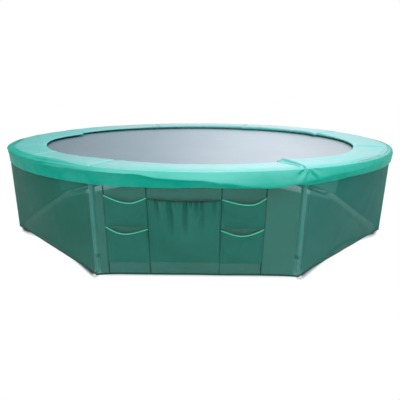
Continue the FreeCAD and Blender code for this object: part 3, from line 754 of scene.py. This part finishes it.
def padPiece():
    choose()
    bpy.ops.mesh.primitive_circle_add(vertices=40, radius=0.5, fill_type="NGON")
    piece = named("pad_blank")
    reach = halfSide + padFacts["press"]
    for vertex in piece.data.vertices:
        # The circle is pressed towards a long box with round edges.
        across, up = vertex.co.x * 2, vertex.co.y * 2
        across = math.copysign(abs(across) ** 0.36, across)
        up = math.copysign(abs(up) ** 0.55, up)
        vertex.co = around(mix(padIn, padOut, across / 2 + 0.5), -reach, up / 2)
    # Swept clockwise, the blank comes to lie one side before the front one.
    sweep(64, 2 * reach)
    padForm(piece)
    return piece


padBlank = padPiece()


def fillPad(piece):
    modify(piece, "REMESH", mode="VOXEL", voxel_size=padFacts["voxel"], use_smooth_shade=True)
    before = [vertex.co.copy() for vertex in piece.data.vertices]
    choose(piece)
    bpy.ops.object.modifier_add(type="CLOTH")
    air = piece.modifiers[-1]
    air.settings.use_pressure = True
    air.settings.uniform_pressure_force = padFacts["pressure"]
    air.settings.effector_weights.gravity = 0
    air.settings.quality = 5
    air.settings.mass = padFacts["mass"]
    for step in range(padFacts["steps"]):
        bpy.context.scene.frame_set(step + 1)
    bpy.ops.object.modifier_apply(modifier=air.name)
    bpy.context.scene.frame_set(1)
    for vertex, start in zip(piece.data.vertices, before):
        moved = vertex.co - start
        if moved.length > padFacts["swell"]:
            vertex.co = start + moved.normalized() * padFacts["swell"]
    return piece


fillPad(padBlank)


def creaseLift(place):
    lift = 0.0
    depth, aside, width = padFacts["creaseBank"]
    for first, last, height in padFacts["creases"]:
        a, b = (around(radius, angle, 0).to_2d() for angle, radius in (first, last))
        share = min(1.0, max(0.0, (place - a).dot(b - a) / (b - a).length_squared))
        gap = (place - a.lerp(b, share)).length
        lift += height * (bump(gap, 0, padFacts["creaseWidth"]) - depth * bump(gap, aside, width))
    return lift


def padDetail(piece, seed):
    # Small dents, creases and puckers, different on each pad.
    for vertex in piece.data.vertices:
        radius, angle = polar(vertex.co)
        across = (radius - padIn) / (padOut - padIn)
        place = (vertex.co.x, vertex.co.y, 0)
        edge = ease(0.35 - across, 0.0, 0.35)
        lift = sum(wave(place, scale, seed + shift) * height for scale, height, shift in padFacts["dents"])
        lift += edge * wave((angle * 0.10, 0, 0), 4.0, seed + 9) * 0.0035
        lift += creaseLift(vertex.co.to_2d()) + along(padFacts["puffed"], angle)
        lift += along(padFacts["lifted"], angle) * edge
        vertex.co.z += lift * ease(vertex.co.z, padLow + 0.006, padLow + 0.036)
        pull = wave((angle * 0.16, 1, 0), 4.0, seed + 3) * 0.004 - along(padFacts["inwards"], angle)
        pull = 1 + edge * pull / radius
        vertex.co.x *= pull
        vertex.co.y *= pull


def makePads():
    for number, side in enumerate(sideNames):
        piece = copyOf(padBlank, f"pad_cover_{side}", sideAngle * number)
        modify(piece, "SUBSURF", levels=1, render_levels=1)
        padDetail(piece, 2.0 + number)
        finish(piece, padVinyl, "frame", [f"pad_{side}"])
        piece.data.materials.append(padLiningAndShade)
        # The inner edge takes the darker lining too, as painted shade along it.
        for face in piece.data.polygons:
            radius, _ = polar(face.center)
            inward = -(face.center.x * face.normal.x + face.center.y * face.normal.y) / radius
            under = face.normal.z < -0.35
            edge = inward > 0.35 and face.normal.z < 0.70
            face.material_index = 1 if under or edge else 0
        smooth(piece, 60)
    bpy.data.objects.remove(padBlank)


makePads()
print("pads done")


# The band that hangs over the ring: it rolls over the pad's edge and falls in soft folds.
bandFacts = {
    # Reach past the pad's edge and height, from the seam in the pad's edge to the roll's shoulder.
    "start": [(-0.016, 0.9460), (-0.004, 0.9490), (0.006, 0.9490)],
    # The same where the band is sewn on further in, over the pad's top, and how much of that form by angle.
    "lapped": [(-0.062, 0.9655), (-0.018, 0.9600), (0.006, 0.9480)],
    "lap": [(-180, 0.0), (-92, 0.0), (-80, 1.0), (-34, 1.0), (-20, 0.0), (180, 0.0)],
    "footReach": [(-180, 0.0055), (-100, -0.003), (-55, -0.003), (-30, 0.0055), (180, 0.0055)],
    "foot": [(-180, 0.833), (-90, 0.826), (-62, 0.830), (-45, 0.829), (-20, 0.823), (-8, 0.830), (1, 0.840),
             (13, 0.831), (19, 0.841), (23, 0.826), (29, 0.836), (35, 0.851), (55, 0.851), (90, 0.838),
             (180, 0.833)],
    # Height and reach of the fold that the light falls on.
    "ridge": [(-180, 0.920), (-60, 0.928), (-27, 0.926), (-12, 0.928), (-7, 0.906), (0.5, 0.898), (5, 0.879),
              (10, 0.850), (14, 0.838), (16, 0.838), (19, 0.852), (23, 0.866), (30, 0.888), (48, 0.915),
              (180, 0.920)],
    "ridgeReach": [(-180, 0.011), (-100, 0.004), (-60, 0.004), (-43, 0.006), (-30, 0.020), (-12, 0.034),
                   (-5, 0.048), (5, 0.052), (14, 0.048), (24, 0.038), (35, 0.026), (60, 0.014), (180, 0.011)],
    "thickness": 0.002,
    "length": 0.130,
    # Thin folds along the left front: how far they stand out, their spacing, angle and height.
    "streaks": (0.0024, 0.026, -52, 0.925),
    # Gathers that spread downwards from the seam over the front right post: their start, how far they stand
    # out, and how many to a radian.
    "gatherFrom": (22.4, 0.958),
    "gathers": (0.0080, 9.0),
}


def lineThrough(points, share):
    # Catmull-Rom curve through points in the (distance, height) plane.
    spot = min(share, 0.9999) * (len(points) - 1)
    i = int(spot)
    t = spot - i
    a, b, c, d = (Vector(points[min(len(points) - 1, max(0, i + k))]) for k in (-1, 0, 1, 2))
    return 0.5 * (2 * b + (c - a) * t + (2 * a - 5 * b + 4 * c - d) * t ** 2
                  + (3 * b - a - 3 * c + d) * t ** 3)


def bandPoint(side, u, v):
    angle = (u - 0.5) * (sideAngle + 0.6) + side * sideAngle
    turn = (angle + 180) % 360 - 180
    foot, ridge = along(bandFacts["foot"], turn), along(bandFacts["ridge"], turn)
    reach, footReach = along(bandFacts["ridgeReach"], turn), along(bandFacts["footReach"], turn)
    lap, puff = along(bandFacts["lap"], turn), along(padFacts["puffed"], turn)
    start = [(mix(a[0], b[0], lap), mix(a[1], b[1], lap) + puff)
             for a, b in zip(bandFacts["start"], bandFacts["lapped"])]
    shoulder = start[-1]
    slope = (mix(shoulder[0], reach, 0.60), mix(shoulder[1], ridge, 0.48))
    under = max(ridge - 0.018, mix(foot, ridge, 0.35))
    section = [*start, slope, (reach, ridge), (mix(footReach, reach, 0.55), under),
               (mix(footReach, reach, 0.22), mix(foot, under, 0.45)), (footReach, foot)]
    reach, height = lineThrough(section, v)
    place = around(padOut, angle, height)
    free = ease(v, 0.25, 0.7)
    out = wave(place, 2.4, 4.0) * 0.008 * free
    out += wave((place.x * 5, place.y * 5, height * 2), 1.0, 8.0) * 0.0045 * free
    out += wave((place.x * 14, place.y * 14, height * 5), 1.0, 3.0) * 0.0022 * ease(v, 0.1, 0.3)
    stand, spacing, streakAngle, streakHeight = bandFacts["streaks"]
    streak = math.sin((height + wave((place.x * 3, place.y * 3, 0), 1.0, 6.0) * 0.02) * math.tau / spacing)
    out += streak * stand * bump(turn, streakAngle, 26) * bump(height, streakHeight, 0.03)
    gatherAngle, gatherHeight = bandFacts["gatherFrom"]
    stand, often = bandFacts["gathers"]
    down, aside = gatherHeight - height, (turn - gatherAngle) * math.radians(padOut)
    spread = math.sin(math.atan2(aside, down + 0.012) * often + 0.4)
    spread *= bump(math.hypot(aside, down), 0.055, 0.05)
    out += stand * spread * ease(v, 0.08, 0.3) * (1 - ease(abs(aside), 0.10, 0.20))
    drop = wave(place, 1.6, 1.0) * 0.004 * v
    return around(padOut + reach + out, angle, height + drop)


def makeBands():
    long, tall = math.radians(sideAngle) * padOut, bandFacts["length"]
    for number, side in enumerate(sideNames):
        piece = cloth(f"flap_cover_{side}", 150, 40, (long, tall), lambda u, v: bandPoint(number, u, v))
        thicken(piece, bandFacts["thickness"], 60)
        finish(piece, flapVinyl, "frame", [f"flap_{side}"])


makeBands()
print("bands done")


# The skirt: eight sheets of netting, round at the ring and straight at the hem.
skirtFacts = {
    "topRadius": 2.1385,
    "thickness": 0.0015,
    "over": 0.031,
    "topHeight": 0.9289,
    "hemRise": 0.012,  # middle of a hem over its corners
    "wrinkle": 0.004,
    "tape": 0.016,
}


def panelPoint(side, u, height, out=0.0):
    angle = (u - 0.5) * sideAngle
    top = skirtFacts["topRadius"]
    low = skirtCorner * math.cos(math.radians(halfSide)) / math.cos(math.radians(angle))
    share = (ringHeight - height) / (ringHeight - skirtLow)
    radius = mix(top, low, max(0.0, share))
    return around(radius + out, angle + side * sideAngle, height)


def skirtHem(u):
    off = abs(2 * u - 1)
    return skirtLow - 0.004 + skirtFacts["hemRise"] * (1 - off ** 9)


def skirtRipple(side, u, v):
    corner = min(1.0, 6 * min(u, 1 - u))
    place = (u * 5.0 + side * 7.1, v * 1.3, side * 2.7)
    tension = math.sin((u * 31 + v * 6) + side) * 0.3
    return (wave(place, 1.6, 3.0) + wave((u * 16.0 + side * 3.3, v * 2.2, 0), 1.0, 6.0) * 0.5
            + tension * 0.25) * skirtFacts["wrinkle"] * corner * ease(v, 0.0, 0.25)


def frontPlace(x, height, out):
    # The front panel's point straight above x, found along the panel's own rulings.
    share = (ringHeight - height) / (ringHeight - skirtLow)
    straight = skirtCorner * math.cos(math.radians(halfSide))
    angle = math.asin(x / skirtFacts["topRadius"])
    for _ in range(6):
        radius = mix(skirtFacts["topRadius"], straight / math.cos(angle), share)
        angle = math.asin(x / radius)
    return Vector((x, -radius * math.cos(angle) - out, height))


# Dark seam tapes down the front panel, one at each edge of a pocket column.
seamFacts = {
    "places": (-0.710, -0.377, 0.1765, 0.510),
    "width": 0.010,
    "thickness": 0.0010,
    "stand": 0.0022,
}


def makeSeams():
    tall = ringHeight - skirtLow
    pieces = []
    for number, x in enumerate(seamFacts["places"]):
        piece = cloth(f"front_seam_{number}", 2, 50, (seamFacts["width"], tall), lambda u, v: frontPlace(
            x + (u - 0.5) * seamFacts["width"], mix(ringHeight, skirtLow + 0.009, v), seamFacts["stand"]))
        thicken(piece, seamFacts["thickness"])
        pieces.append(finish(piece, hemTape, "frame"))
    return pieces


def makeSkirt():
    wide, top, tapeWidth = panelWidth, skirtFacts["topHeight"], skirtFacts["tape"]
    tall = top - skirtLow + skirtFacts["over"]
    turnShare = skirtFacts["over"] / tall
    for number, side in enumerate(sideNames):
        def place(u, v):
            if v < turnShare:
                angle = (u - 0.5) * sideAngle + number * sideAngle
                return around(skirtFacts["topRadius"] - (turnShare - v) * tall, angle, top)
            share = (v - turnShare) / (1 - turnShare)
            return panelPoint(number, u, mix(top, skirtHem(u), share), skirtRipple(number, u, share))
        piece = cloth(f"skirt_panel_{side}", 80, 60, (wide, tall), place)
        thicken(piece, skirtFacts["thickness"], 60)
        finish(piece, skirtMeshes[number], "frame", [f"skirt_{side}"])
        tape = cloth(f"skirt_hem_{side}", 80, 3, (wide, tapeWidth), lambda u, v: panelPoint(
            number, u, skirtHem(u) + tapeWidth * (1 - v) - 0.001,
            skirtRipple(number, u, 1 - (1 - v) * 0.03) + 0.0012))
        thicken(tape, 0.001)
        finish(tape, hemTape, "frame")
        seams = makeSeams() if side == "front" else []


makeSkirt()
print("skirt done")


# Pockets on the front panel, each a sheet sewn on three sides with a rolled edge on the fourth.
pocketFacts = {
    "cloth": 0.0012,
    "stand": 0.0022,  # back of the cloth from the middle of the panel
    "bulge": 0.030,
    "sag": 0.040,
    "bagBulge": 0.040,
    "bagSag": 0.008,
    "bagFold": 0.024,
    # Long folds down the bag: share of its width, and of its height that each one runs.
    "valleys": ((0.13, 0.35), (0.31, 0.60), (0.51, 0.66), (0.68, 0.34), (0.745, 0.62), (0.91, 0.42)),
    "bagWidening": 1.35,  # flat width over the width as sewn
    "binding": 0.0044,
    "elastic": 0.0045,
}


def pocketPoint(u, v, left, right, top, bottom, lowest, seed):
    bulge, sag = pocketFacts["bulge"], pocketFacts["sag"]
    x = mix(left, right, u)
    # The mouth hangs lowest a little off its middle, and its ends are drawn up.
    fall = u / lowest if u < lowest else (1 - u) / (1 - lowest)
    mouth = top - sag * math.sin(fall * math.pi / 2) ** 1.3
    height = mix(mouth, bottom, v)
    side = (4 * u * (1 - u)) ** 0.6
    belly = bulge * side * (1 - v ** 1.6) ** 0.8
    folds = wave((u * 3.0, v * 2.2, seed), 1.7, seed) * 0.010 * side * (1 - v) ** 0.3 * min(1.0, 6 * v)
    corner = (bump(u, 0.0, 0.2) + bump(u, 1.0, 0.2)) * bump(v, 1.0, 0.3) * 0.004
    return frontPlace(x, height, pocketFacts["stand"] + max(0.0, belly + folds + corner))


def bagPoint(u, v, left, right, top, bottom, seed):
    x = mix(left, right, u)
    mouth = top - pocketFacts["bagSag"] * 4 * u * (1 - u)
    height = mix(mouth, bottom, v)
    side = (4 * u * (1 - u)) ** 0.5
    # Folds start close together at the elastic, and run on as fewer and softer ones.
    slant = u + (u - 0.45) * 0.10 * v
    tight = math.sin(slant * math.tau * 13 + 1.1 * math.sin(u * 11)) * (1 - ease(v, 0.0, 0.20)) * 0.45
    valleys = 0
    for place, reach in pocketFacts["valleys"]:
        form = bump(slant, place, 0.024 + 0.016 * v) - 0.5 * bump(slant, place + 0.06, 0.035)
        valleys += form * (1 - ease(v, reach * 0.4, reach))
    soft = wave((u * 7.0, v * 2.4, 0), 1.0, seed) * (1 - ease(v, 0.7, 1.0)) * 0.6
    folds = (tight - valleys * 0.9 + soft) * pocketFacts["bagFold"]
    belly = pocketFacts["bagBulge"] * (0.50 + 0.70 * math.sin(math.pi * min(1.0, v * 0.95)) ** 0.9)
    return frontPlace(x, height, pocketFacts["stand"] + max(0.0, (belly * (1 - v ** 5) + folds) * side))


def makePockets():
    small = [("pocket_upper_left", 0.60), ("pocket_lower_left", 0.42),
             ("pocket_upper_right", 0.66), ("pocket_lower_right", 0.50)]
    for number, (name, lowest) in enumerate(small):
        low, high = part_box(name)
        form = (low.x, high.x, high.z, low.z, lowest, number + 1.0)
        flat = (high.x - low.x, high.z - low.z)
        piece = cloth(f"{name}_cloth", 40, 36, flat, lambda u, v: pocketPoint(u, v, *form))
        thicken(piece, pocketFacts["cloth"], 60)
        finish(piece, pocketMesh, "frame", [name])
        mouth = [pocketPoint(i / 14, 0, *form) for i in range(15)]
        roll = tube(f"{name}_binding", mouth, pocketFacts["binding"])
        smooth(roll, 60)
        finish(roll, mintBinding, "frame", ["pocket_bindings"])
    low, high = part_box("pocket_bag")
    form = (low.x, high.x, high.z, low.z, 5.0)
    flat = (pocketFacts["bagWidening"] * (high.x - low.x), high.z - low.z)
    bag = cloth("pocket_bag_cloth", 120, 50, flat, lambda u, v: bagPoint(u, v, *form))
    thicken(bag, pocketFacts["cloth"], 60)
    finish(bag, pocketMesh, "frame", ["pocket_bag"])
    mouth = [bagPoint(i / 60, 0, *form) for i in range(61)]
    elastic = tube("bag_elastic_edge", mouth, pocketFacts["elastic"], steps=3)
    smooth(elastic, 60)
    finish(elastic, darkElastic, "frame", ["bag_elastic"])


makePockets()
print("pockets done")


roomFacts = {
    "floorSize": 60.0,
    "ground": (0.60, 0.57, 0.55),  # in the shade inside the skirt
    "shadow": (0.85, 0.07),  # share of the floor's look that light makes, inside the hem and past it
    "filtered": (0.50, 0.97, 1.0),  # light on the far ground inside the skirt, which comes through netting
    "shade": 1.985,  # how far the shaded ground reaches, less the part under a near hem that the camera sees
    "seen": (0.135, 0.085, 0.0, 0.13, 0.16),  # that part, from the front side round to the back one
    # Painted shade on ground outside a side panel that only shows through the netting: direction, distance,
    # darkness.
    "wedge": (63.5, 2.09, 0.88),
    "lit": (0.82, 0.82, 0.82),
    "sky": 0.42,  # world strength as a light
    "sheen": (0.84, 0.94, 1.04),  # colour of the sky in reflections
    # The sky in reflections: its slope, middle, least and most from left to right, and a bright window.
    "reflected": (1.7, 1.06, 0.25, 0.96),
    "window": (0.16, 0.17, 0.30),
    "lamps": {  # place, size in metres, watts
        "overhead": ((0.7, -3.2, 7.0), 8.0, 430.0),
        "fill": ((2.0, -8.0, 3.0), 5.0, 40.0),
    },
}


def floorMaterial():
    made = Finish("floor_white", Roughness=0.9)
    reach = roomFacts["shade"]
    x, y, _ = made.split(made.place())
    aside = x.math("ABSOLUTE")
    # Distance from the middle, measured square to the sides.
    away = 0 - y + roomFacts["seen"][0]
    for side in (1, 2, 3, 4):
        turn = math.radians(sideAngle * side)
        square = aside * math.sin(turn) - y * math.cos(turn)
        away = away.math("MAXIMUM", square + roomFacts["seen"][side])
    under, past = roomFacts["shadow"]
    outside = made.ramp(away, reach - 0.05, reach + 0.04, smooth=True)
    # Painted shade on the ground just outside the side panels.
    turn, near, darkness = roomFacts["wedge"]
    square = aside * math.sin(math.radians(turn)) - y * math.cos(math.radians(turn))
    wedge = made.ramp(square, near + 0.04, near) * (aside > 1.94)
    outside = outside * (1 - wedge * made.ramp(y, -0.5, 1.3, darkness, 0.0, smooth=True))
    far = made.ramp(away, reach + 0.10, reach + 2.0, smooth=True)
    made.set(Base_Color=made.blend(outside, roomFacts["ground"], roomFacts["lit"]))
    behind = made.ramp(away, reach + 0.16, reach + 0.12) * outside * made.ramp(y, -0.3, 0.1)
    camera, mirrored, through = made.rays()
    glowing = outside * (1 - past) + far * past + (1 - under)
    seen = camera.math("MAXIMUM", mirrored).math("MAXIMUM", through) * glowing.math("MINIMUM", 1.0)
    glow = made.node("Emission", inputs={"Color": made.blend(behind, (1, 1, 1), roomFacts["filtered"]),
                                         "Strength": 1.0})
    both = made.node("MixShader", inputs={0: seen, 1: Wire(made.tree, made.shader.outputs[0]), 2: glow})
    plug(made.tree, made.tree.nodes["Material Output"].inputs["Surface"], both)
    return made.material


def makeRoom():
    choose()
    bpy.ops.mesh.primitive_plane_add(size=roomFacts["floorSize"], location=(0, 0, 0))
    floor = named("floor")
    floor.data.materials.append(floorMaterial())

    world = bpy.data.worlds.new("studio")
    bpy.context.scene.world = world
    world.use_nodes = True
    made = Nodes(world.node_tree)
    background = made.tree.nodes["Background"].inputs
    camera, mirrored, through = made.rays()
    seen = camera.math("MAXIMUM", mirrored).math("MAXIMUM", through)
    plug(made.tree, background["Color"], made.blend(mirrored, (1, 1, 1), roomFacts["sheen"]))
    # Reflections see a sky that is darker to the left, with a bright window.
    across = made.split(made.node("TexCoord"))[0]
    slope, middle, least, most = roomFacts["reflected"]
    windowPlace, windowWidth, brightness = roomFacts["window"]
    window = (across - windowPlace) / windowWidth
    sky = (across * slope + middle).math("MINIMUM", most).math("MAXIMUM", least)
    sky = sky - (across - 0.2).math("MAXIMUM", 0.0) * 0.6
    sky = sky + (window * window * -1).math("EXPONENT") * brightness
    light = seen * (1 - roomFacts["sky"]) + roomFacts["sky"]
    plug(made.tree, background["Strength"], light * (1 - mirrored) + mirrored * sky)

    for name, (place, size, watts) in roomFacts["lamps"].items():
        choose()
        bpy.ops.object.light_add(type="AREA", location=place)
        lamp = bpy.context.object
        lamp.name = name
        lamp.data.shape = "SQUARE"
        lamp.data.size = size
        lamp.data.energy = watts
        lamp.rotation_euler = (Vector((0, 0, 0.5)) - Vector(place)).to_track_quat("-Z", "Y").to_euler()


cameraFacts = {
    "place": (0.034, -4.774, 1.484),
    "tilt": 72.32,  # degrees up from looking straight down
    "turn": 0.320,
    "roll": 0.452,
    "lens": 34.28,  # millimetres
    "film": 36,
    "shiftUp": 0.0348,
}


def makeCamera():
    bpy.ops.object.camera_add(location=cameraFacts["place"])
    camera = bpy.context.object
    camera.data.sensor_width = cameraFacts["film"]
    camera.data.lens = cameraFacts["lens"]
    camera.data.shift_y = cameraFacts["shiftUp"]
    camera.data.dof.use_dof = False
    facing = (Matrix.Rotation(math.radians(cameraFacts["turn"]), 4, "Z")
              @ Matrix.Rotation(math.radians(cameraFacts["tilt"]), 4, "X")
              @ Matrix.Rotation(math.radians(cameraFacts["roll"]), 4, "Z"))
    camera.rotation_euler = facing.to_euler()
    bpy.context.scene.camera = camera


makeRoom()
makeCamera()
bpy.context.scene.view_settings.view_transform = "Standard"
print("room and camera done")
